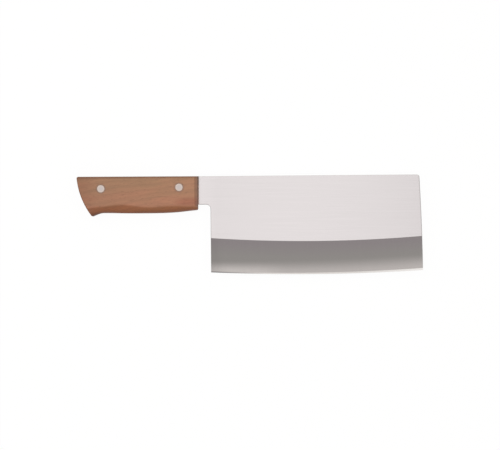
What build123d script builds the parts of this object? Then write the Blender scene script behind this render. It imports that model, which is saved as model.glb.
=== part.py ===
from build123d import *
import os
from math import cos, radians, sin, tan

# A broad slab-bladed kitchen cleaver with a riveted wooden handle, lying on its side.
# X runs from the handle's butt to the blade's toe, Y from the cutting edge to the spine,
# and Z out of the blade's side. Lengths are millimetres, angles are degrees.

# Blade, all depths measured down from the spine
blade_length = 200.0
blade_depth = 93.2
blade_thickness = 2.2
edge_bow = 2.7
toe_lift = 0.55
toe_lean = 2.9
toe_bow = 0.5
toe_radius = 2.4
edge_break = 0.25

# Ground bevel: a straight facet that swells into the edge, then the fine sharpening bevel
bevel_height_heel = 32.4
bevel_height_middle = 31.3
bevel_height_toe = 32.3
facet_angle = 0.9
facet_share = 0.68
sharpening_width_heel = 0.6
sharpening_width_middle = 1.3
sharpening_width_toe = 2.4
sharpening_angle = 10.0
edge_flat = 0.06

# Neck and tang, one piece of steel with the blade
neck_length = 11.1
neck_depth = 26.75
neck_radius = 4.0
tang_thickness = 2.3
tang_rear_depth = 20.0
tang_radius = 8.0
shoulder_gap = 0.3
butt_cover = 11.0

# Handle, seen from the side
handle_length = 115.1
handle_width = 20.0
front_depth = 32.0
front_lean = 0.6
front_radius = 1.6
front_turn = 84.3
belly_depth = 34.55
waist_depth = 34.0
waist_setback = 25.8
waist_radius = 14.6
hook_angle = 23.0
hook_run = 5.95
hook_radius = 2.1
butt_rise = 0.4
butt_bow = 3.0
butt_radius = 1.6

# Handle, its worked edges
side_edge_radius = 1.5
slant_run = 2.8
slant_angle = 15.0
nose_run = 1.3
nose_drop = 1.55
rounding_reach = 6.5
rounding_start_angle = 3.0
rounding_upper_angle = 24.0
rounding_crest_radius = 7.0
rounding_lower_angle = 80.0

# Rivets, two halves pressed into each other through wood and tang
front_rivet_setback = 18.5
front_rivet_depth = 10.3
rear_rivet_setback = 22.9
rear_rivet_depth = 11.1
rivet_head_diameter = 7.1
rivet_head_thickness = 2.0
rivet_tube_diameter = 5.0
rivet_shank_diameter = 3.0
rivet_end_gap = 1.5
rivet_chamfer = 0.4

# Clearances, and the reach of every cutter past what it cuts
slot_clearance = 0.05
rivet_clearance = 0.05
press_clearance = 0.01
overrun = 4.0

# Underside of the handle: shares of handle_length back from the front, and of belly_depth
underside_shares = ((0.168, 0.975), (0.414, 1.0), (0.65, 0.992))

# Hand-rounded lower corners: how far along the underside's curve each section stands, and the
# depth of the rounding's crest there, as a share of belly_depth
rounding_shares = ((0.0, 0.815), (0.14, 0.808), (0.26, 0.797), (0.56, 0.823), (0.83, 0.757), (1.0, 0.798))
hook_shares = (0.81, 0.83, 0.87)

# Places that follow from the sizes
heel_x = neck_length
toe_x = neck_length + blade_length
middle_x = neck_length + blade_length / 2
heel_depth = blade_depth - edge_bow + toe_lift / 2
toe_depth = blade_depth - edge_bow - toe_lift / 2
half_blade = blade_thickness / 2
half_width = handle_width / 2
tang_length = handle_length - butt_cover
tang_rise = butt_rise * tang_length / handle_length
# The layout's origin is the top corner of the handle's front, on the blade's middle plane. It is
# placed so that the whole knife is centred over the origin, with its lower side at zero height.
front_x = (handle_length - toe_x) / 2
spine_y = (blade_depth - butt_rise) / 2
layout = Plane(origin=(front_x, spine_y, half_width))
rivet_places = {
    "front_rivet": (front_x - front_rivet_setback, spine_y - front_rivet_depth),
    "rear_rivet": (front_x - handle_length + rear_rivet_setback, spine_y - rear_rivet_depth),
}


def across(x):
    """Plane square to the knife's length at x, drawn as depth below the spine and height."""
    origin = (front_x + x, spine_y, half_width)
    return Plane(origin=origin, x_dir=(0, -1, 0), z_dir=(-1, 0, 0))


def nearest(shapes, x, y):
    """The edge or vertex that lies nearest to the layout's point x, y."""
    return shapes.sort_by_distance((front_x + x, spine_y + y, half_width))[0]


def bowed(heel, middle, toe, x):
    """Value at x of the parabola through its values at the heel, the middle and the toe."""
    share = (x - heel_x) / blade_length
    at_heel = heel * (1 - share) * (1 - 2 * share)
    at_toe = toe * share * (2 * share - 1)
    return at_heel + middle * 4 * share * (1 - share) + at_toe


# Steel that the grinding wheels take off the two sides, from the bevel line to the edge
with BuildPart() as grind:
    for x in (heel_x - overrun, middle_x, toe_x + overrun):
        edge = bowed(heel_depth, blade_depth, toe_depth, x)
        height = bowed(bevel_height_heel, bevel_height_middle, bevel_height_toe, x)
        width = bowed(sharpening_width_heel, sharpening_width_middle, sharpening_width_toe, x)
        facet_start = edge - height - overrun
        facet_end = edge - height * (1 - facet_share)
        facet_fall = tan(radians(facet_angle))
        edge_fall = tan(radians(sharpening_angle))
        outside = half_blade + overrun
        with BuildSketch(across(x)):
            with BuildLine():
                facet = Line(
                    (facet_start, half_blade + overrun * facet_fall),
                    (facet_end, half_blade - height * facet_share * facet_fall),
                )
                shoulder = (edge - width, edge_flat / 2 + width * edge_fall)
                swell = TangentArc(facet @ 1, shoulder, tangent=facet % 1)
                Polyline(
                    swell @ 1,
                    (edge + overrun, edge_flat / 2 - overrun * edge_fall),
                    (edge + overrun, outside),
                    (facet_start, outside),
                    facet @ 0,
                )
            make_face()
    loft()
    mirror(about=Plane.XY.offset(half_width))

# Blade, neck and tang: one steel blank, ground on both sides of the blade
with BuildPart() as blade:
    with BuildSketch(layout):
        with BuildLine():
            spine = Line((shoulder_gap, 0), (toe_x - toe_lean, 0))
            toe = SagittaArc(spine @ 1, (toe_x, -toe_depth), toe_bow)
            edge_line = ThreePointArc(toe @ 1, (middle_x, -blade_depth), (heel_x, -heel_depth))
            Polyline(
                edge_line @ 1,
                (heel_x, -neck_depth),
                (shoulder_gap, -neck_depth),
                spine @ 0,
            )
        make_face()
    extrude(amount=half_blade, both=True)
    fillet(nearest(blade.edges().filter_by(Axis.Z), toe_x - toe_lean, 0), radius=toe_radius)
    fillet(nearest(blade.edges().filter_by(Axis.Z), heel_x, -neck_depth), radius=neck_radius)
    rims = blade.faces().filter_by(Axis.Z).edges().sort_by(Axis.X)
    chamfer(rims[2:], length=edge_break)
    with BuildSketch(layout):
        Polygon(
            (0, 0),
            (-tang_length, tang_rise),
            (-tang_length, -tang_rear_depth),
            (0, -neck_depth),
            (shoulder_gap, -neck_depth),
            (shoulder_gap, 0),
            align=None,
        )
    extrude(amount=tang_thickness / 2, both=True)
    tang_end = nearest(blade.edges().filter_by(Axis.Z), -tang_length, -tang_rear_depth)
    fillet(tang_end, radius=tang_radius)
    with Locations(Plane.XY.offset(half_width)):
        with Locations(*rivet_places.values()):
            Hole(radius=rivet_tube_diameter / 2 + 2 * rivet_clearance)
    add(grind.part, mode=Mode.SUBTRACT)

# The handle's outline seen from the side, from its back round by the front and the underside
with BuildSketch(layout) as outline:
    with BuildLine():
        back = Line((-handle_length, butt_rise), (0, 0))
        front = Line(back @ 1, (-front_lean, front_radius - front_depth))
        corner = JernArc(front @ 1, front % 1, radius=front_radius, arc_size=-front_turn)
        underside = Spline(
            corner @ 1,
            *[(-along * handle_length, -deep * belly_depth) for along, deep in underside_shares],
            (waist_setback - handle_length, -waist_depth),
            tangents=(corner % 1, (-1, 0)),
        )
        waist = JernArc(underside @ 1, (-1, 0), radius=waist_radius, arc_size=hook_angle)
        hook = PolarLine(waist @ 1, hook_run, direction=waist % 1)
        butt = SagittaArc(hook @ 1, back @ 0, butt_bow)
    make_face()
    fillet(outline.vertices().sort_by_distance(hook @ 1)[0], radius=hook_radius)
    fillet(outline.vertices().sort_by_distance(back @ 0)[0], radius=butt_radius)

# Wood taken off the two lower corners, through sections that follow the outline's underside
with BuildPart() as rounding:
    start_way = Vector(cos(radians(rounding_start_angle)), -sin(radians(rounding_start_angle)))
    lower_way = Vector(cos(radians(rounding_lower_angle)), -sin(radians(rounding_lower_angle)))
    crest_turn = rounding_upper_angle - rounding_start_angle
    crest_reach = rounding_crest_radius * tan(radians(crest_turn / 2))
    past_front = corner @ 1 - (corner % 1) * 2 * overrun
    past_hook = hook @ 1 + (hook % 1) * 2 * hook_run
    sections = [(underside @ along, deep) for along, deep in rounding_shares]
    sections = [(past_front, sections[0][1])] + sections
    sections += list(zip((hook @ 0, hook @ 1, past_hook), hook_shares))
    for lowest, limit_share in sections:
        start = Vector(limit_share * belly_depth - crest_reach, half_width)
        under = Vector(-lowest.Y, half_width - rounding_reach)
        before = start - start_way * overrun
        after = under + lower_way * overrun
        with BuildSketch(across(lowest.X)):
            with BuildLine():
                Line(before, start)
                crest = JernArc(start, start_way, radius=rounding_crest_radius, arc_size=-crest_turn)
                Spline(crest @ 1, under, tangents=(crest % 1, lower_way))
                Polyline(
                    under,
                    after,
                    (after.X + overrun, after.Y),
                    (after.X + overrun, half_width + overrun),
                    (before.X, half_width + overrun),
                    before,
                )
            make_face()
    loft()
    mirror(about=Plane.XY.offset(half_width))

# Wood taken off both sides of the front: a slant that rolls over into the front face
with BuildPart() as front_easing:
    with BuildSketch(Plane(origin=layout.origin, x_dir=(1, 0, 0), z_dir=(0, -1, 0))):
        with BuildLine():
            slant_end = Vector(-nose_run, half_width - slant_run * tan(radians(slant_angle)))
            slant = Line((-nose_run - slant_run, half_width), slant_end)
            nose = TangentArc(slant_end, slant_end + (nose_run, -nose_drop), tangent=slant % 1)
            Polyline(
                nose @ 1,
                (overrun, (nose @ 1).Y),
                (overrun, half_width + overrun),
                ((slant @ 0).X, half_width + overrun),
                slant @ 0,
            )
        make_face()
    extrude(amount=belly_depth, both=True)
    mirror(about=Plane.XY.offset(half_width))

# Saw slot for the tang, open along the back and the front
with BuildPart() as slot:
    with BuildSketch(layout):
        Polygon(
            (overrun, overrun),
            (-tang_length - slot_clearance, overrun),
            (-tang_length - slot_clearance, -tang_rear_depth - slot_clearance),
            (0, -neck_depth - slot_clearance),
            (overrun, -neck_depth - slot_clearance),
            align=None,
        )
    extrude(amount=tang_thickness / 2 + slot_clearance, both=True)
    fillet(nearest(slot.edges().filter_by(Axis.Z), -tang_length, -tang_rear_depth), radius=tang_radius)

# Handle: one piece of wood
with BuildPart() as handle:
    extrude(outline.sketch, amount=half_width, both=True)
    fillet(handle.faces().filter_by(Axis.Z).edges(), radius=side_edge_radius)
    add(rounding.part, mode=Mode.SUBTRACT)
    add(front_easing.part, mode=Mode.SUBTRACT)
    add(slot.part, mode=Mode.SUBTRACT)
    for place in rivet_places.values():
        with Locations(Plane.XY.offset(handle_width)):
            with Locations(place):
                CounterBoreHole(
                    radius=rivet_tube_diameter / 2 + rivet_clearance,
                    counter_bore_radius=rivet_head_diameter / 2 + rivet_clearance,
                    counter_bore_depth=rivet_head_thickness,
                )
        with BuildSketch():
            with Locations(place):
                Circle(radius=rivet_head_diameter / 2 + rivet_clearance)
        extrude(amount=rivet_head_thickness, mode=Mode.SUBTRACT)

# Rivets: in each, a tube headed at the bottom and a solid shank headed at the top, pressed together
head_radius = rivet_head_diameter / 2
tube_radius = rivet_tube_diameter / 2
shank_radius = rivet_shank_diameter / 2
bore_radius = shank_radius + press_clearance
tube_top = handle_width - rivet_head_thickness - rivet_end_gap
shank_end = rivet_head_thickness + rivet_end_gap
rivets = {}
for name, (x, y) in rivet_places.items():
    section = Plane(origin=(x, y, 0), x_dir=(1, 0, 0), z_dir=(0, -1, 0))
    with BuildPart() as rivets[name + "_female"]:
        with BuildSketch(section):
            Polygon(
                (0, 0),
                (head_radius, 0),
                (head_radius, rivet_head_thickness),
                (tube_radius, rivet_head_thickness),
                (tube_radius, tube_top),
                (bore_radius + rivet_chamfer, tube_top),
                (bore_radius, tube_top - rivet_chamfer),
                (bore_radius, rivet_head_thickness),
                (0, rivet_head_thickness),
                align=None,
            )
        revolve(axis=Axis((x, y, 0), (0, 0, 1)))
    with BuildPart() as rivets[name + "_male"]:
        with BuildSketch(section):
            Polygon(
                (0, handle_width),
                (head_radius, handle_width),
                (head_radius, handle_width - rivet_head_thickness),
                (shank_radius, handle_width - rivet_head_thickness),
                (shank_radius, shank_end + rivet_chamfer),
                (shank_radius - rivet_chamfer, shank_end),
                (0, shank_end),
                align=None,
            )
        revolve(axis=Axis((x, y, 0), (0, 0, 1)))

os.makedirs("parts", exist_ok=True)
for name, piece in {"blade": blade, "handle": handle, **rivets}.items():
    piece.part.label = name
    export_step(piece.part, f"parts/{name}.step")
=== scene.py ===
# %% [markdown]
# A kitchen cleaver, seen from straight above on a white sheet. The shape comes from the packed
# frame, in metres: a steel blade that runs back into the wooden handle, the handle, and two
# rivets of two halves each. This lesson dresses them. It sets up the camera, the white sheet
# and the light first, so that every finish can be judged as soon as it is made.

# %% The fixed frame and its box
import math

import bpy
import numpy as np
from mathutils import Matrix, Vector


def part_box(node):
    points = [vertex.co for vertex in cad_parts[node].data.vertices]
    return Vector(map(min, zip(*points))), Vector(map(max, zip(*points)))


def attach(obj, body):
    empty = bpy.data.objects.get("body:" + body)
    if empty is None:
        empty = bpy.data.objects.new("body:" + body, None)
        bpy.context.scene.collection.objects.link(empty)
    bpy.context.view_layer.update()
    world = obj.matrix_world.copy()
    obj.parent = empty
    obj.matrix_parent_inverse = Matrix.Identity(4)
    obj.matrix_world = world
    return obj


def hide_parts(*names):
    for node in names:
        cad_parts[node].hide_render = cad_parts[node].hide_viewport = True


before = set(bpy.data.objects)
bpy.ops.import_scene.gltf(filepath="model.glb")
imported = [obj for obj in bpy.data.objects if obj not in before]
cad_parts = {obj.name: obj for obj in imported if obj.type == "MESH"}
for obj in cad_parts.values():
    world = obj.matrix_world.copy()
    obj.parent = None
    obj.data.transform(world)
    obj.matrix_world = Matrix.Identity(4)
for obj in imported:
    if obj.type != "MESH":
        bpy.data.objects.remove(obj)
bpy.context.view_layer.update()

MM = 0.001

# %% [markdown]
# The photograph looks straight down with a long lens, so the sides of the knife don't show.
# A Blender camera at no rotation looks down already. Five metres up, the lens that shows
# 472 mm of the floor's width is a very long one, and the spine's slight climb to the right
# is a small roll of the camera.

# %% Camera
camera_height = 5000 * MM
frame_width = 472 * MM
frame_centre = (0.14 * MM, 0.04 * MM)
camera_roll = math.radians(-0.477)
blade_level = 10 * MM
view_reach = 10.0

camera = bpy.data.objects.new("camera", bpy.data.cameras.new("camera"))
bpy.context.scene.collection.objects.link(camera)
camera.location = (*frame_centre, camera_height)
camera.rotation_euler = (0, 0, camera_roll)
camera.data.lens = camera.data.sensor_width * (camera_height - blade_level) / frame_width
camera.data.clip_end = view_reach
bpy.context.scene.camera = camera
print("lens", round(camera.data.lens, 1), "mm")

# %% [markdown]
# Materials are built from nodes. Three helpers keep that short. One turns a colour that was
# read off the object, written as six hex digits, into the linear values that a shader wants.
# One adds a node, sets it and joins what it is given. One starts an empty material.


# %% Colour and node helpers
def linear(code):
    """Linear colour of an sRGB hex code: each channel over 0.04045 is ((c + 0.055) / 1.055) ** 2.4."""
    channels = np.array([int(code[i:i + 2], 16) for i in (0, 2, 4)]) / 255
    curved = ((channels + 0.055) / 1.055) ** 2.4
    return (*np.where(channels > 0.04045, curved, channels / 12.92), 1.0)


def add_node(tree, kind, inputs=None, **settings):
    """Adds a shader node. Each input is a value, or another node's socket to be linked."""
    node = tree.nodes.new("ShaderNode" + kind)
    for name, value in settings.items():
        setattr(node, name, value)
    for key, value in (inputs or {}).items():
        if isinstance(value, bpy.types.NodeSocket):
            tree.links.new(value, node.inputs[key])
        else:
            node.inputs[key].default_value = value
    return node


def new_material(name):
    """An empty node material and its tree."""
    material = bpy.data.materials.new(name)
    material.use_nodes = True
    material.node_tree.nodes.clear()
    return material, material.node_tree


# %% [markdown]
# The sheet under the knife is white in the photograph. A white floor lit by more light would
# bleach the knife too, so the floor is an ordinary pale surface for the light that bounces,
# and mostly a plain white glow for the eye and for what the steel mirrors. A share of the pale
# surface is left in, so the knife still casts its soft shadow.


# %% Floor
def seen_directly(tree):
    """1 for what the eye, a mirror or glass sees, 0 for light that bounces off a dull surface."""
    path = add_node(tree, "LightPath")
    seen = add_node(tree, "Math", {0: path.outputs["Is Camera Ray"], 1: path.outputs["Is Glossy Ray"]},
                    operation="MAXIMUM")
    return add_node(tree, "Math", {0: seen.outputs[0], 1: path.outputs["Is Transmission Ray"]},
                    operation="MAXIMUM").outputs[0]


floor_reach = 3.0
floor_colour = "BCBAB7"
glow_share = 0.9
glow_level = 1.062

floor_material, tree = new_material("matt_white_sheet")
sheet = add_node(tree, "BsdfDiffuse", {"Color": linear(floor_colour)})
glow = add_node(tree, "Emission", {"Color": (1, 1, 1, 1), "Strength": glow_level})
glowing = add_node(tree, "Math", {0: seen_directly(tree), 1: glow_share}, operation="MULTIPLY")
surface = add_node(tree, "MixShader", {0: glowing.outputs[0], 1: sheet.outputs[0], 2: glow.outputs[0]})
add_node(tree, "OutputMaterial", {"Surface": surface.outputs[0]})

corners = np.array([(-1, -1, 0), (1, -1, 0), (1, 1, 0), (-1, 1, 0)]) * floor_reach
floor_mesh = bpy.data.meshes.new("floor")
floor_mesh.from_pydata(corners, [], [(0, 1, 2, 3)])
floor_mesh.materials.append(floor_material)
floor = bpy.data.objects.new("floor", floor_mesh)
bpy.context.scene.collection.objects.link(floor)

# %% [markdown]
# The light is a plain studio. The sky is brightest overhead and fades towards the horizon, as
# under a wide cloth, so a face that tilts away turns a little darker. What the eye and the
# steel see directly is plain white.

# %% World
horizon_level = 0.22
overhead_level = 1.72
overhead_sharpness = 3.0

bpy.context.scene.view_settings.view_transform = "Standard"
world = bpy.data.worlds.new("studio")
bpy.context.scene.world = world
world.use_nodes = True
tree = world.node_tree
tree.nodes.clear()
direction = add_node(tree, "TexCoord").outputs["Generated"]
height = add_node(tree, "SeparateXYZ", {0: direction}).outputs["Z"]
upward = add_node(tree, "Math", {0: height, 1: 0.0}, operation="MAXIMUM")
gathered = add_node(tree, "Math", {0: upward.outputs[0], 1: overhead_sharpness}, operation="POWER")
level = add_node(tree, "MapRange", {0: gathered.outputs[0], 3: horizon_level, 4: overhead_level})
cloth = add_node(tree, "Background", {"Color": (1, 1, 1, 1), "Strength": level.outputs[0]})
white = add_node(tree, "Background", {"Color": (1, 1, 1, 1), "Strength": 1.0})
surface = add_node(tree, "MixShader", {0: seen_directly(tree), 1: cloth.outputs[0], 2: white.outputs[0]})
add_node(tree, "OutputWorld", {"Surface": surface.outputs[0]})

# %% [markdown]
# One soft lamp stands to the side and draws the edges. Its level is set so that a surface that
# faces up, lit by the sky and the lamp, renders in the colour that is written for it.

# %% Side lamp
lamp_power = 3.0
lamp_size = 900 * MM
lamp_distance = 1500 * MM
lamp_azimuth = math.radians(150)
lamp_elevation = math.radians(42)

aim = np.array([math.cos(lamp_azimuth) * math.cos(lamp_elevation),
                math.sin(lamp_azimuth) * math.cos(lamp_elevation),
                math.sin(lamp_elevation)])
lamp = bpy.data.objects.new("side_lamp", bpy.data.lights.new("side_lamp", "AREA"))
lamp.data.shape = "DISK"
lamp.data.size = lamp_size
lamp.data.energy = lamp_power
lamp.location = aim * lamp_distance
lamp.rotation_euler = (0, math.pi / 2 - lamp_elevation, lamp_azimuth)
bpy.context.scene.collection.objects.link(lamp)
print("lamp at", np.round(lamp.location, 2), "m")

# %% [markdown]
# Every pattern below is laid out in millimetres, from the object's own coordinates, so it is
# carved through the piece like real grain and meets itself round the edges. A Mapping node
# brings the metres of the frame to millimetres, and another squeezes a noise along one axis to
# make it a streak. A soft mask turns a place or a pattern into a share that rises smoothly.


# %% Coordinates in millimetres
def millimetres(tree):
    """The piece's own coordinates, in millimetres."""
    place = add_node(tree, "TexCoord").outputs["Object"]
    return add_node(tree, "Mapping", {"Vector": place, "Scale": (1 / MM, 1 / MM, 1 / MM)}).outputs[0]


def streaks(tree, place, length, width, detail=2.0, start=0.0):
    """Noise from 0 to 1 drawn out along X: its patches are about length by width millimetres."""
    squeezed = add_node(tree, "Mapping", {"Vector": place, "Location": (start, 0, 0),
                                          "Scale": (1 / length, 1 / width, 1 / width)})
    noise = add_node(tree, "TexNoise", {"Vector": squeezed.outputs[0], "Scale": 1.0, "Detail": detail})
    return noise.outputs[0]


def soft(tree, value, outside, inside, full=1.0):
    """Mask that rises smoothly from 0 where the value is outside to full where it is inside."""
    mask = add_node(tree, "MapRange", {0: value, 1: outside, 2: inside, 4: full},
                    interpolation_type="SMOOTHSTEP")
    return mask.outputs[0]


# %% [markdown]
# The handle is one block of plain reddish hardwood, sanded and oiled. Its figure is faint: soft
# growth rings cut at a low angle, so they run along the handle and climb a little towards the
# blade, and fine fibre streaks inside them. An image would be the quick way, but here the rings
# are worked out in space, as distances from the heart of the tree, so the sides, the back and
# the sawn ends all show the same block.

# %% Growth rings and fibres
ring_spacing = 5.2
heart = (0, -52, 24)
grain_turn = (0, math.radians(2), math.radians(-6))
bend_length, bend_width, bend_reach = (46.0, 24.0, 7.0)
growing_border = (0.15, 0.8)
resting_border = (1.0, 0.8)
fibre_length, fibre_width = (24.0, 0.8)
cloud_length, cloud_width, cloud_start = (34.0, 6.5, 3.0)

wood, tree = new_material("oiled_hardwood_sanded")
place = millimetres(tree)
along = add_node(tree, "Mapping", {"Vector": place, "Rotation": grain_turn}).outputs[0]
centred = add_node(tree, "VectorMath", {0: along, 1: heart}, operation="SUBTRACT")
across = add_node(tree, "VectorMath", {0: centred.outputs[0], 1: (0, 1, 1)}, operation="MULTIPLY")
distance = add_node(tree, "VectorMath", {0: across.outputs[0]}, operation="LENGTH").outputs["Value"]
bend = streaks(tree, along, bend_length, bend_width, detail=1.0)
bent = add_node(tree, "Math", {0: bend, 1: 2 * bend_reach, 2: distance}, operation="MULTIPLY_ADD")
years = add_node(tree, "Math", {0: bent.outputs[0], 1: ring_spacing}, operation="DIVIDE")
season = add_node(tree, "Math", {0: years.outputs[0]}, operation="FRACT").outputs[0]
growing = soft(tree, season, *growing_border)
resting = soft(tree, season, *resting_border)
ring = add_node(tree, "Math", {0: growing, 1: resting}, operation="MULTIPLY").outputs[0]
fibre = streaks(tree, along, fibre_length, fibre_width, detail=3.0)
cloud = streaks(tree, along, cloud_length, cloud_width, start=cloud_start)
print("wood figure from", len(tree.nodes), "nodes")

# %% [markdown]
# The block isn't one colour. It is an olive brown towards the back and a redder brown towards
# the belly, a little greyer at the butt, and soft clouds of the two browns run along it. The
# figure then makes all of them a few percent lighter or darker.

# %% Wood colour
wood_olive = linear("A87C5A")
wood_red = linear("B07859")
butt_x, front_x = (-163, -48)
back_y, belly_y = (45.5, 18.5)
butt_level, front_level = (0.90, 1.02)
cloud_weight = 2.0
red_levels = (0.9, 2.1)
ring_depth, fibre_depth, cloud_depth = (-0.08, -0.17, 0.2)

spot = add_node(tree, "SeparateXYZ", {0: place})
heartward = add_node(tree, "MapRange", {0: spot.outputs["Y"], 1: back_y, 2: belly_y}, clamp=False)
clouded = add_node(tree, "Math", {0: cloud, 1: cloud_weight, 2: heartward.outputs[0]},
                   operation="MULTIPLY_ADD")
redness = add_node(tree, "MapRange", {0: clouded.outputs[0], 1: red_levels[0], 2: red_levels[1]})
brown = add_node(tree, "Mix", {0: redness.outputs[0], 6: wood_olive, 7: wood_red}, data_type="RGBA")
level = add_node(tree, "MapRange", {0: spot.outputs["X"], 1: butt_x, 2: front_x, 3: butt_level,
                                    4: front_level}).outputs[0]
for pattern, depth in ((ring, ring_depth), (fibre, fibre_depth), (cloud, cloud_depth)):
    swing = add_node(tree, "Math", {0: pattern, 1: depth, 2: 1 - depth / 2}, operation="MULTIPLY_ADD")
    level = add_node(tree, "Math", {0: level, 1: swing.outputs[0]}, operation="MULTIPLY").outputs[0]
figured = add_node(tree, "VectorMath", {0: brown.outputs[2], 3: level}, operation="SCALE").outputs[0]

# %% [markdown]
# Hardwood has open pores: short dark dashes along the grain. They are finer than a pixel in the
# whole view, and show when the camera comes close.

# %% Pores
pore_length, pore_width = (4.0, 0.3)
pore_levels = (0.66, 0.76)
pore_share = 0.4
wood_pore = linear("6B4734")

pore_noise = streaks(tree, along, pore_length, pore_width, detail=0.0)
pores = soft(tree, pore_noise, *pore_levels, pore_share)
colour = add_node(tree, "Mix", {0: pores, 6: figured, 7: wood_pore}, data_type="RGBA").outputs[2]

# %% [markdown]
# Some places are darker than the rest. The back carries a painted shade along its rounded
# edge, and the last of the butt is darker. A redder flame of heartwood lies in the front's
# lower corner. The last two millimetres at the front carry a painted grey shade. Each is a
# mask made from the place alone, from 0 outside to 1 inside.

# %% Darker places
back_shade_border = (3.2, 1.2)
butt_border = (-140, -160)
flame_centre, flame_reach = ((-57, 22, 0), (19, 6, 1))
flame_border = (1.0, 0.3)
back_shade_tint = linear("E2DBD9")
butt_tint = linear("F2E8E4")
flame_tint = linear("EFDDDA")
front_shade_border = (-51.4, -50.0)
front_shade_share = 0.2
front_shade_grey = linear("6E696E")


def tinted(tree, colour, mask, tint):
    """The colour, multiplied by the tint as far as the mask says."""
    shade = add_node(tree, "Mix", {0: mask, 6: (1, 1, 1, 1), 7: tint}, data_type="RGBA")
    return add_node(tree, "Mix", {0: 1.0, 6: colour, 7: shade.outputs[2]}, data_type="RGBA",
                    blend_type="MULTIPLY").outputs[2]


back_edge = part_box("handle")[1][1] / MM
from_back = add_node(tree, "Math", {0: back_edge, 1: spot.outputs["Y"]}, operation="SUBTRACT")
flat_place = add_node(tree, "VectorMath", {0: place, 1: (1, 1, 0)}, operation="MULTIPLY")
from_flame = add_node(tree, "VectorMath", {0: flat_place.outputs[0], 1: flame_centre}, operation="SUBTRACT")
stretched = add_node(tree, "VectorMath", {0: from_flame.outputs[0], 1: flame_reach}, operation="DIVIDE")
flame = add_node(tree, "VectorMath", {0: stretched.outputs[0]}, operation="LENGTH").outputs["Value"]
# painted shade along the back's rounded edge
colour = tinted(tree, colour, soft(tree, from_back.outputs[0], *back_shade_border), back_shade_tint)
colour = tinted(tree, colour, soft(tree, spot.outputs["X"], *butt_border), butt_tint)
colour = tinted(tree, colour, soft(tree, flame, *flame_border), flame_tint)
# painted grey shade over the front's last two millimetres
front_shaded = add_node(tree, "MapRange", {0: spot.outputs["X"], 1: front_shade_border[0], 2: front_shade_border[1],
                                      4: front_shade_share}).outputs[0]
colour = add_node(tree, "Mix", {0: front_shaded, 6: colour, 7: front_shade_grey}, data_type="RGBA").outputs[2]
print("back edge at", round(back_edge, 2), "mm")

# %% [markdown]
# Where the block was rounded by hand, its colour carries painted shade, as these surfaces turn
# away from the light. The rounded belly is painted darker and redder the further it turns
# under. The front is painted a greyer shade, slightly on its slant and more on its nose. The
# normal tells where that is, because every rounded surface leans away from the flat sides.

# %% Painted shade on the rounded edges
rounded_border, rounded_shade_tint = (0.985, 0.93), linear("F0EEEE")
crest_border, crest_shade_tint = (-0.1, -0.45), linear("E8D4B3")
belly_border, belly_shade_tint = (-0.4, -1.0), linear("E6D6C8")
slant_border, slant_shade_tint = (0.05, 0.25), linear("E6E4E4")
end_border, nose_shade_tint = (0.22, 0.6), linear("BDCDD3")

normal = add_node(tree, "NewGeometry").outputs["Normal"]
lean = add_node(tree, "SeparateXYZ", {0: normal})
flatness = add_node(tree, "Math", {0: lean.outputs["Z"]}, operation="ABSOLUTE").outputs[0]
frontward = lean.outputs["X"]
backward = lean.outputs["Y"]
# painted shade on every rounded surface: darker, redder under the belly, greyer at the front
for value, border, tint in ((flatness, rounded_border, rounded_shade_tint), (backward, crest_border, crest_shade_tint),
                            (backward, belly_border, belly_shade_tint), (frontward, slant_border, slant_shade_tint),
                            (frontward, end_border, nose_shade_tint)):
    colour = tinted(tree, colour, soft(tree, value, *border), tint)
print("tinted by the normal, the wood has", len(tree.nodes), "nodes")

# %% [markdown]
# Round each rivet the wood is stained. When the head is sanded flush, metal dust greys the first
# millimetre of the wood, and oil gathers in the joint and creeps a little further. Both follow
# the distance from the rivet's axis.

# %% Stain round the rivets
stain_reach = 2.6
stain_tint = linear("F0EEEC")
dust_reach = 1.3
dust_share = 0.45
dust_grey = linear("8F8078")

for name in ("front_rivet_male", "rear_rivet_male"):
    low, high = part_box(name)
    centre = [(a + b) / 2 / MM for a, b in zip(low, high)]
    head_radius = (high[0] - low[0]) / 2 / MM
    offset = add_node(tree, "VectorMath", {0: place, 1: centre}, operation="SUBTRACT")
    level_offset = add_node(tree, "VectorMath", {0: offset.outputs[0], 1: (1, 1, 0)}, operation="MULTIPLY")
    radius = add_node(tree, "VectorMath", {0: level_offset.outputs[0]}, operation="LENGTH").outputs["Value"]
    colour = tinted(tree, colour, soft(tree, radius, head_radius + stain_reach, head_radius), stain_tint)
    dusty = add_node(tree, "MapRange", {0: radius, 1: head_radius + dust_reach, 2: head_radius,
                                        4: dust_share}).outputs[0]
    colour = add_node(tree, "Mix", {0: dusty, 6: colour, 7: dust_grey}, data_type="RGBA").outputs[2]
    print("stain round", name, "of radius", round(head_radius, 2), "mm")

# %% [markdown]
# Oil leaves a satin skin, a little glossier on the dense wood than in the open fibres, and the
# pores stay as tiny grooves.

# %% Oiled surface
groove_depth, groove_strength = (0.1 * MM, 0.25)
pore_weight = -3.0
dense_roughness, open_roughness = (0.42, 0.58)
oil_ior = 1.5

relief = add_node(tree, "Math", {0: pores, 1: pore_weight, 2: fibre}, operation="MULTIPLY_ADD")
bump = add_node(tree, "Bump", {"Height": relief.outputs[0], "Strength": groove_strength,
                               "Distance": groove_depth})
gloss = add_node(tree, "MapRange", {0: fibre, 3: dense_roughness, 4: open_roughness})
shader = add_node(tree, "BsdfPrincipled", {"Base Color": colour, "Roughness": gloss.outputs[0],
                                           "IOR": oil_ior, "Normal": bump.outputs[0]})
add_node(tree, "OutputMaterial", {"Surface": shader.outputs[0]})
print("oiled wood has", len(tree.nodes), "nodes")
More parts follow.
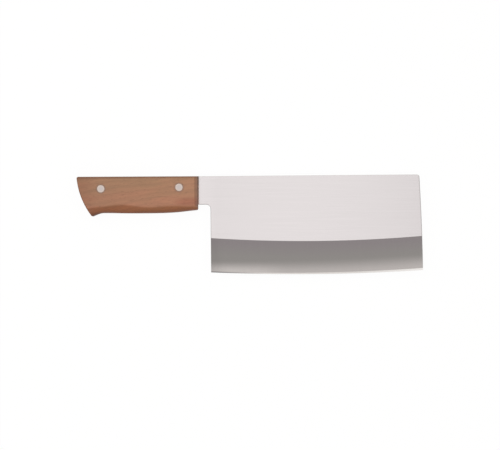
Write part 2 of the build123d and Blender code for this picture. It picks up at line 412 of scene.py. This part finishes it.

# %% [markdown]
# The blade is one sheet of stainless steel with three finishes. The flats are buffed to a pale
# satin. The bevel is ground on a belt; its colour is a painted reflection of a darker part of the
# room, turning brighter where it swells towards the edge. The honed strip along the edge is the
# brightest, also a painted reflection. Three materials on separate faces would break at the
# borders, so one material finds each finish by where it lies: the bevel line and the edge are
# parabolas through their heights at the heel, the middle and the toe.


# %% Lines of the blade
def bowed(tree, share, heel, middle, toe):
    """Parabola through its values at shares 0, 1/2 and 1: (square * share + slope) * share + heel."""
    square = 2 * (heel + toe - 2 * middle)
    slope = toe - heel - square
    inner = add_node(tree, "Math", {0: share, 1: square, 2: slope}, operation="MULTIPLY_ADD")
    outer = add_node(tree, "Math", {0: inner.outputs[0], 1: share, 2: heel}, operation="MULTIPLY_ADD")
    return outer.outputs[0]


heel_x, toe_x = (-36.9, 163.1)
bevel_line = (-11.975, -15.5, -11.525)
edge_line = (-44.375, -46.8, -43.825)
line_softness = 0.1

steel, tree = new_material("stainless_plate_ground_and_buffed")
place = millimetres(tree)
spot = add_node(tree, "SeparateXYZ", {0: place})
share = add_node(tree, "MapRange", {0: spot.outputs["X"], 1: heel_x, 2: toe_x}, clamp=False).outputs[0]
below_line = add_node(tree, "Math", {0: bowed(tree, share, *bevel_line), 1: spot.outputs["Y"]},
                      operation="SUBTRACT")
above_edge = add_node(tree, "Math", {0: spot.outputs["Y"], 1: bowed(tree, share, *edge_line)},
                      operation="SUBTRACT")
ground = add_node(tree, "MapRange", {0: below_line.outputs[0], 1: -line_softness / 2,
                                     2: line_softness / 2}).outputs[0]
print("steel's lines from", len(tree.nodes), "nodes")

# %% [markdown]
# The buffed flats are a pale grey with a breath of rose, and a painted reflection makes them
# brightest in the middle of the blade. A painted highlight brightens the neck a little right up
# to the wood. The bevel's colours are a painted reflection: a dark neutral grey that warms
# towards its middle and then lightens, over the last centimetre and a half, to a pale grey
# beside the edge. A soft painted gleam lies on this swelling in the third next to the heel,
# whose own corner is painted a little darker.

# %% Colours of flats and bevel
flat_colour = linear("E1DBDB")
flat_levels = (0.985, 1.013, 0.93)
neck_highlight_border, neck_highlight_gain = ((-31.0, -47.6), 0.055)
bevel_dark = linear("898283")
bevel_body = linear("8D8986")
bevel_pale = linear("B6B0AD")
warming_border = (3.0, 16.0)
swell_start = (11.5, 14.6, 16.2)
gleam_rise, gleam_fall, gleam_gain = ((-36, -20), (34, 8), 0.15)
heel_border, heel_level = ((-25, -37), 0.92)
swell_end = (1.8, 1.0, 2.6)

# painted reflection: the flats are brightest in the middle of the blade
flat_sheen_level = bowed(tree, share, *flat_levels)
# painted highlight on the neck beside the wood
neck_highlight = add_node(tree, "MapRange", {0: spot.outputs["X"], 1: neck_highlight_border[0], 2: neck_highlight_border[1],
                                     4: neck_highlight_gain})
flat_level = add_node(tree, "Math", {0: flat_sheen_level, 1: neck_highlight.outputs[0]}, operation="ADD")
flat = add_node(tree, "VectorMath", {0: flat_colour[:3], 3: flat_level.outputs[0]}, operation="SCALE")
# the bevel's colours are a painted reflection, with a painted gleam and a darker heel corner
warming = add_node(tree, "MapRange", {0: below_line.outputs[0], 1: warming_border[0], 2: warming_border[1]})
swelling = soft(tree, above_edge.outputs[0], bowed(tree, share, *swell_start), bowed(tree, share, *swell_end))
bevel_reflection_grey = add_node(tree, "Mix", {0: warming.outputs[0], 6: bevel_dark, 7: bevel_body}, data_type="RGBA")
rising = add_node(tree, "MapRange", {0: spot.outputs["X"], 1: gleam_rise[0], 2: gleam_rise[1]})
falling = add_node(tree, "MapRange", {0: spot.outputs["X"], 1: gleam_fall[0], 2: gleam_fall[1]})
gleam = add_node(tree, "Math", {0: rising.outputs[0], 1: falling.outputs[0]}, operation="MULTIPLY")
gleam_level = add_node(tree, "Math", {0: gleam.outputs[0], 1: gleam_gain, 2: 1.0}, operation="MULTIPLY_ADD")
swell = add_node(tree, "VectorMath", {0: bevel_pale[:3], 3: gleam_level.outputs[0]}, operation="SCALE")
bevel = add_node(tree, "Mix", {0: swelling, 6: bevel_reflection_grey.outputs[2], 7: swell.outputs[0]}, data_type="RGBA")
heelward = add_node(tree, "MapRange", {0: spot.outputs["X"], 1: heel_border[0], 2: heel_border[1], 3: 1.0,
                                       4: heel_level})
bevel = add_node(tree, "VectorMath", {0: bevel.outputs[2], 3: heelward.outputs[0]}, operation="SCALE")
plate = add_node(tree, "Mix", {0: ground, 6: flat.outputs[0], 7: bevel.outputs[0]}, data_type="RGBA")

# %% [markdown]
# The honing strip is narrow at the heel and wide at the toe. It mirrors the dark of the room at
# the heel, turns pale within the first quarter of the edge and is brightest at the toe.

# %% Honed edge
honed_widths = (0.88, 1.38, 1.96)
honed_dark = linear("7A7575")
honed_mid = linear("DBD6D2")
honed_bright = linear("ECE8E5")
honed_softness = 0.4
facing_shares = (0.03, 0.26)
lit_shares = (0.65, 1.0)

honed_width = bowed(tree, share, *honed_widths)
inside = add_node(tree, "Math", {0: honed_width, 1: above_edge.outputs[0]}, operation="SUBTRACT")
honed = add_node(tree, "MapRange", {0: inside.outputs[0], 1: -honed_softness / 2, 2: honed_softness / 2})
facing = add_node(tree, "MapRange", {0: share, 1: facing_shares[0], 2: facing_shares[1]})
lit = add_node(tree, "MapRange", {0: share, 1: lit_shares[0], 2: lit_shares[1]})
strip = add_node(tree, "Mix", {0: facing.outputs[0], 6: honed_dark, 7: honed_mid}, data_type="RGBA")
strip = add_node(tree, "Mix", {0: lit.outputs[0], 6: strip.outputs[2], 7: honed_bright}, data_type="RGBA")
sharpened = add_node(tree, "Mix", {0: honed.outputs[0], 6: plate.outputs[2], 7: strip.outputs[2]},
                     data_type="RGBA")

# %% [markdown]
# The thin sides of the plate and their broken corners carry a painted dark reflection, and the
# spine a painted lighter one. The normal finds them: they turn away from the flats, and the
# spine faces up the Y axis.

# %% Rims of the plate
rim_reflection_grey = linear("6E6866")
spine_reflection_grey = linear("CFC9C6")
rim_flatness = (0.95, 0.85)
spine_lean = (0.2, 0.6)

normal = add_node(tree, "NewGeometry").outputs["Normal"]
lean = add_node(tree, "SeparateXYZ", {0: normal})
flatness = add_node(tree, "Math", {0: lean.outputs["Z"]}, operation="ABSOLUTE")
# painted reflection: dark on the sides and corners, lighter on the spine
turned_away = add_node(tree, "MapRange", {0: flatness.outputs[0], 1: rim_flatness[0], 2: rim_flatness[1]})
spineward = add_node(tree, "MapRange", {0: lean.outputs["Y"], 1: spine_lean[0], 2: spine_lean[1]})
rim = add_node(tree, "Mix", {0: spineward.outputs[0], 6: rim_reflection_grey, 7: spine_reflection_grey}, data_type="RGBA")
finished = add_node(tree, "Mix", {0: turned_away.outputs[0], 6: sharpened.outputs[2], 7: rim.outputs[2]},
                    data_type="RGBA")

# %% [markdown]
# The last millimetre or so beside the toe and along the neck's lower side carries a painted
# shade, a little darker than the flat. The toe's line is another parabola, this time through
# its X at the spine, half way down and at the edge.

# %% Painted shade beside the rims
toe_line, toe_heights = ((160.2, 162.15, 163.1), (46.4, -43.8))
neck_under, neck_end = (19.65, -40.0)
rim_band_reach = 1.5
rim_band_shade_tint = linear("EDEAE9")

# painted shade beside the toe and along the neck's lower side
down_toe = add_node(tree, "MapRange", {0: spot.outputs["Y"], 1: toe_heights[0], 2: toe_heights[1]},
                    clamp=False)
from_toe = add_node(tree, "Math", {0: bowed(tree, down_toe.outputs[0], *toe_line), 1: spot.outputs["X"]},
                    operation="SUBTRACT")
by_toe = soft(tree, from_toe.outputs[0], rim_band_reach, 0.0)
under_neck = soft(tree, spot.outputs["Y"], neck_under + rim_band_reach, neck_under)
on_neck = soft(tree, spot.outputs["X"], neck_end + rim_band_reach, neck_end)
by_neck = add_node(tree, "Math", {0: under_neck, 1: on_neck}, operation="MULTIPLY")
rim_band_shade = add_node(tree, "Math", {0: by_toe, 1: by_neck.outputs[0]}, operation="MAXIMUM")
above_bevel = add_node(tree, "Math", {0: 1.0, 1: ground}, operation="SUBTRACT")
rim_band_shade = add_node(tree, "Math", {0: rim_band_shade.outputs[0], 1: above_bevel.outputs[0]}, operation="MULTIPLY")
finished = tinted(tree, finished.outputs[2], rim_band_shade.outputs[0], rim_band_shade_tint)

# %% [markdown]
# A thin brown line lies on the flats at the slot's mouth, where the steel leaves the handle.
# It lies on the flats only, not on the tang's own edge.

# %% Brown line at the slot
slot_line_reach = 0.4
slot_line_share = 0.6
slot_line_brown = linear("B0754C")

slot_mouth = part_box("handle")[1][0] / MM
slot_line_mask = add_node(tree, "MapRange", {0: spot.outputs["X"], 1: slot_mouth + slot_line_reach, 2: slot_mouth,
                                    4: slot_line_share})
slot_lined = add_node(tree, "Math", {0: slot_line_mask.outputs[0], 1: flatness.outputs[0]}, operation="MULTIPLY")
finished = add_node(tree, "Mix", {0: slot_lined.outputs[0], 6: finished, 7: slot_line_brown},
                    data_type="RGBA").outputs[2]
print("slot's mouth at", round(slot_mouth, 2), "mm")

# %% [markdown]
# Both finishes leave scratches. The buffing wheel runs along the blade, the grinding belt
# across it. They are drawn half a millimetre wide, coarser than real ones, so that they still
# show in a close view.

# %% Scratches and gloss
buff_length, buff_width = (60.0, 0.5)
belt_length, belt_width = (30.0, 0.45)
scratch_share = 0.05
scratch_depth, scratch_strength = (0.02 * MM, 0.15)
haze_length, haze_width = (90.0, 40.0)
clear_roughness, hazy_roughness = (0.16, 0.24)

buffed = streaks(tree, place, buff_length, buff_width)
upright = add_node(tree, "Mapping", {"Vector": place, "Rotation": (0, 0, math.pi / 2)}).outputs[0]
belted = streaks(tree, upright, belt_length, belt_width, detail=3.0)
scratch = add_node(tree, "Mix", {0: ground, 2: buffed, 3: belted}, data_type="FLOAT").outputs[0]
scratch_level = add_node(tree, "MapRange", {0: scratch, 3: 1 - scratch_share, 4: 1 + scratch_share})
scratched = add_node(tree, "VectorMath", {0: finished, 3: scratch_level.outputs[0]}, operation="SCALE")
bump = add_node(tree, "Bump", {"Height": scratch, "Strength": scratch_strength, "Distance": scratch_depth})
haze = streaks(tree, place, haze_length, haze_width, detail=1.0)
gloss = add_node(tree, "MapRange", {0: haze, 3: clear_roughness, 4: hazy_roughness})
shader = add_node(tree, "BsdfPrincipled", {"Base Color": scratched.outputs[0], "Metallic": 1.0,
                                           "Roughness": gloss.outputs[0], "Normal": bump.outputs[0]})
add_node(tree, "OutputMaterial", {"Surface": shader.outputs[0]})
print("steel has", len(tree.nodes), "nodes")

# %% [markdown]
# Each rivet is two turned pieces, pressed into each other inside the wood: a tube with a head
# below, and a shank with a head above. Only the heads show. They were sanded flush and buffed,
# so their faces are a hair's breadth domed and their rims are eased. A cylinder with a Bevel
# modifier comes near that, but a turned piece is best said as a lathe says it, by its profile:
# pairs of distance from the axis and height. The frame gives each rivet's place, head and length.

# %% Profiles of the rivet halves
head_thickness = 2.0
tube_radius = 2.5
shank_radius = 1.5
bore_radius = 1.51
stem_chamfer = 0.4
face_dome = 0.06
rim_ease = 0.22
face_steps, rim_steps = (10, 7)


def head_profile(head_radius):
    """A head from its axis to its side: a parabola down to face_dome, then a quarter circle of rim_ease."""
    share = np.linspace(0, 1, face_steps)
    face = np.stack(((head_radius - rim_ease) * share, face_dome * share ** 2), axis=1)
    turn = np.linspace(0, math.pi / 2, rim_steps)[1:]
    rim_radii = head_radius - rim_ease * (1 - np.sin(turn))
    rim_heights = face_dome + rim_ease * (1 - np.cos(turn))
    return np.vstack((face, np.stack((rim_radii, rim_heights), axis=1)))


def half_profile(half, head_radius, length):
    """The head's profile and then the tube's or the shank's, back to the axis."""
    if half == "female":
        stem = [(tube_radius, head_thickness), (tube_radius, length), (bore_radius + stem_chamfer, length),
                (bore_radius, length - stem_chamfer), (bore_radius, head_thickness), (0, head_thickness)]
    else:
        stem = [(shank_radius, head_thickness), (shank_radius, length - stem_chamfer),
                (shank_radius - stem_chamfer, length), (0, length)]
    return np.vstack((head_profile(head_radius), [(head_radius, head_thickness)], stem))


print("points in a head's profile", face_steps + rim_steps - 1)

# %% [markdown]
# numpy carries a profile round the axis in one go: x is the centre's plus the distance times
# the cosine of the turn, y the same with the sine, and the height stays. The profile's two ends
# lie on the axis, so each becomes one vertex with a fan of triangles, and the piece is closed.
# Each vertex also keeps its share of the head's radius, for the finish to read.

# %% Turning
turn_steps = 96
sharp_angle = math.radians(30)


def turned(name, profile, centre, head_radius):
    """Closed mesh of a profile, in mm from bottom to top, turned round the upright axis at the centre."""
    turn = np.linspace(0, 2 * math.pi, turn_steps, endpoint=False)
    radii, heights = profile[1:-1, :1], profile[1:-1, 1:]
    rings = np.stack((centre[0] + radii * np.cos(turn), centre[1] + radii * np.sin(turn),
                      heights + 0 * turn), axis=-1).reshape(-1, 3)
    poles = [(*centre, profile[0, 1]), (*centre, profile[-1, 1])]
    here = np.arange(len(rings)).reshape(-1, turn_steps)
    beside = np.roll(here, -1, axis=1)
    walls = np.stack((here[:-1], beside[:-1], beside[1:], here[1:]), axis=-1).reshape(-1, 4)
    lower = np.stack((np.full(turn_steps, len(rings)), beside[0], here[0]), axis=-1)
    upper = np.stack((np.full(turn_steps, len(rings) + 1), here[-1], beside[-1]), axis=-1)
    mesh = bpy.data.meshes.new(name)
    faces = [*walls.tolist(), *lower.tolist(), *upper.tolist()]
    mesh.from_pydata(np.vstack((rings, poles)) * MM, [], faces)
    mesh.shade_smooth()
    mesh.set_sharp_from_angle(angle=sharp_angle)
    outwards = mesh.attributes.new("outwards", "FLOAT", "POINT")
    shares = np.append(np.repeat(profile[1:-1, 0], turn_steps), (0, 0)) / head_radius
    outwards.data.foreach_set("value", shares)
    piece = bpy.data.objects.new(name, mesh)
    bpy.context.scene.collection.objects.link(piece)
    return piece


# %% [markdown]
# The lower half's profile starts at its head, at the bottom. The upper half is the same idea
# upside down, so its heights are counted down from the top, and the order is turned round to
# keep its faces outward. Each half takes the place of the frame's piece of the same name.

# %% The four rivet halves
rivet_halves = []
for place_name in ("front", "rear"):
    for half in ("female", "male"):
        node = f"{place_name}_rivet_{half}"
        low, high = np.array(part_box(node)) / MM
        head_radius = (high[0] - low[0]) / 2
        profile = half_profile(half, head_radius, high[2] - low[2])
        if half == "female":
            profile = profile + (0, low[2])
        else:
            profile = (profile * (1, -1) + (0, high[2]))[::-1]
        piece = turned(node + "_turned", profile, (low[:2] + high[:2]) / 2, head_radius)
        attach(piece, "root")
        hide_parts(node)
        rivet_halves.append(piece)
        print(piece.name, len(piece.data.polygons), "faces, head of", round(2 * head_radius, 2), "mm")

# %% [markdown]
# The rivets are nickel silver, a little warmer than the blade. The sanding left fine lines along
# the handle, and a painted highlight makes the rims lighter than the middles.

# %% Rivet metal
middle_metal = linear("C9BFBB")
rim_highlight_metal = linear("D4C3B9")
rim_highlight_border = (0.45, 0.85)
sanding_length, sanding_width = (8.0, 0.25)
dull_level, bright_level = (0.93, 1.07)
rivet_roughness = 0.35

rivet_metal, tree = new_material("nickel_silver_sanded_flush")
place = millimetres(tree)
sanding = streaks(tree, place, sanding_length, sanding_width)
outwards = add_node(tree, "Attribute", attribute_name="outwards").outputs["Fac"]
# painted highlight: the rims are lighter than the middles
metal = add_node(tree, "Mix", {0: soft(tree, outwards, *rim_highlight_border), 6: middle_metal, 7: rim_highlight_metal},
                 data_type="RGBA")
tone = add_node(tree, "MapRange", {0: sanding, 3: dull_level, 4: bright_level})
colour = add_node(tree, "VectorMath", {0: metal.outputs[2], 3: tone.outputs[0]}, operation="SCALE")
bump = add_node(tree, "Bump", {"Height": sanding, "Strength": scratch_strength, "Distance": scratch_depth})
shader = add_node(tree, "BsdfPrincipled", {"Base Color": colour.outputs[0], "Metallic": 1.0,
                                           "Roughness": rivet_roughness, "Normal": bump.outputs[0]})
add_node(tree, "OutputMaterial", {"Surface": shader.outputs[0]})
for piece in rivet_halves:
    piece.data.materials.append(rivet_metal)
print("rivet metal on", len(rivet_halves), "pieces")

# %% [markdown]
# The blade and the handle are the frame's own pieces. Each one's slot says which finish it gets.

# %% Finishes on the frame's pieces
finishes = {"blade_steel": steel, "handle_wood": wood, "rivet_steel": rivet_metal}
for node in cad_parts.values():
    slot = node.data.materials[0].name.split(".")[0]
    node.material_slots[0].material = finishes[slot]
    print(node.name, "gets", finishes[slot].name)
